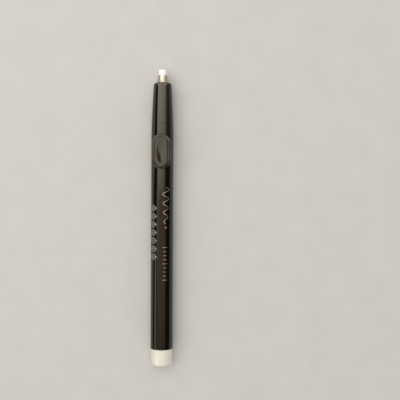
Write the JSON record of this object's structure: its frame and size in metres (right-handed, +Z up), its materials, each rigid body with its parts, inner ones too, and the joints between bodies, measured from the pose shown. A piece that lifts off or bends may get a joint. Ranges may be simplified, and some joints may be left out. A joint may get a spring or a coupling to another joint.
{
  "type": "electric eraser",
  "caption": "Slim pen-shaped electric eraser with an oval button on a glossy black barrel, a metal chuck that spins a white eraser rod, and a pale screw cap at the tail.",
  "frame": {"origin": "on the surface that the pen lies on, under the middle of its box", "axes": "+Y runs along the pen from tail to eraser tip, +Z is up and the way the button faces"},
  "size_m": [0.0134, 0.1762, 0.0144],
  "materials": {
    "housing": "polished black",
    "button": "polished black",
    "cap": "satin ivory",
    "eraser": "matt white vinyl",
    "chuck": "satin nickel plating",
    "steel": "zinc-plated",
    "brass": "machined",
    "copper": "enamelled copper wire",
    "contact": "nickel-plated strip",
    "magnet": "sintered ferrite",
    "nylon": "natural nylon",
    "acetal": "moulded black",
    "cell": "printed film sleeve",
    "red_insulation": "satin",
    "black_insulation": "satin"
  },
  "bodies": {
    "housing": {"barrel": "housing", "nose_cone": "housing", "nose_bush": "nylon", "button_bezel": "housing", "switch_carrier": "acetal", "switch_contact": "contact", "battery_contact": "contact", "return_strip": "contact", "rear_cell": "cell", "front_cell": "cell", "red_lead": "red_insulation", "black_lead": "black_insulation", "motor_mount": "nylon", "motor_screw_left": "steel", "motor_screw_right": "steel", "motor_can": "steel", "motor_end_cap": "acetal", "magnet_upper": "magnet", "magnet_lower": "magnet", "motor_front_bush": "brass", "motor_rear_bush": "brass", "brush_left": "brass", "brush_right": "brass"},
    "spindle": {"motor_shaft": "steel", "rotor_core": "steel", "rotor_coil_1": "copper", "rotor_coil_2": "copper", "rotor_coil_3": "copper", "commutator": "brass", "chuck_hub": "brass", "chuck_tube": "chuck"},
    "refill": {"eraser": "eraser"},
    "button": {"switch_button": "button"},
    "leaf": {"switch_leaf": "contact"},
    "cap_contact": {"spring_seat": "contact", "tail_spring": "steel"},
    "cap": {"tail_cap": "cap"}
  },
  "joints": [
    {"name": "spindle_spin", "type": "hinge", "parent": "housing", "child": "spindle", "pos_m": [0, 0, 0.00667], "axis": [0, 1, 0], "continuous": true},
    {"name": "eraser_slide", "type": "slide", "parent": "spindle", "child": "refill", "axis": [0, 1, 0], "range_m": [0, 0.0205]},
    {"name": "button_press", "type": "slide", "parent": "housing", "child": "button", "axis": [0, 0, -1], "range_m": [0, 0.0008], "stiffness_N_per_m": 1500, "springref_m": -0.0004},
    {"name": "leaf_bend", "type": "hinge", "parent": "housing", "child": "leaf", "pos_m": [0, 0.0245, 0.00982], "axis": [-1, 0, 0], "range_deg": [0, 4.6]},
    {"name": "cap_travel", "type": "slide", "parent": "housing", "child": "cap_contact", "axis": [0, -1, 0], "range_m": [0, 0.009]},
    {"name": "cap_turn", "type": "hinge", "parent": "cap_contact", "child": "cap", "pos_m": [0, -0.0881, 0.00667], "axis": [0, -1, 0], "range_deg": [0, 1622]}
  ],
  "couplings": [
    {"joint": "leaf_bend", "follows": "button_press", "rad_per_m": 98.6},
    {"joint": "cap_turn", "follows": "cap_travel", "rad_per_m": 3141.6}
  ]
}
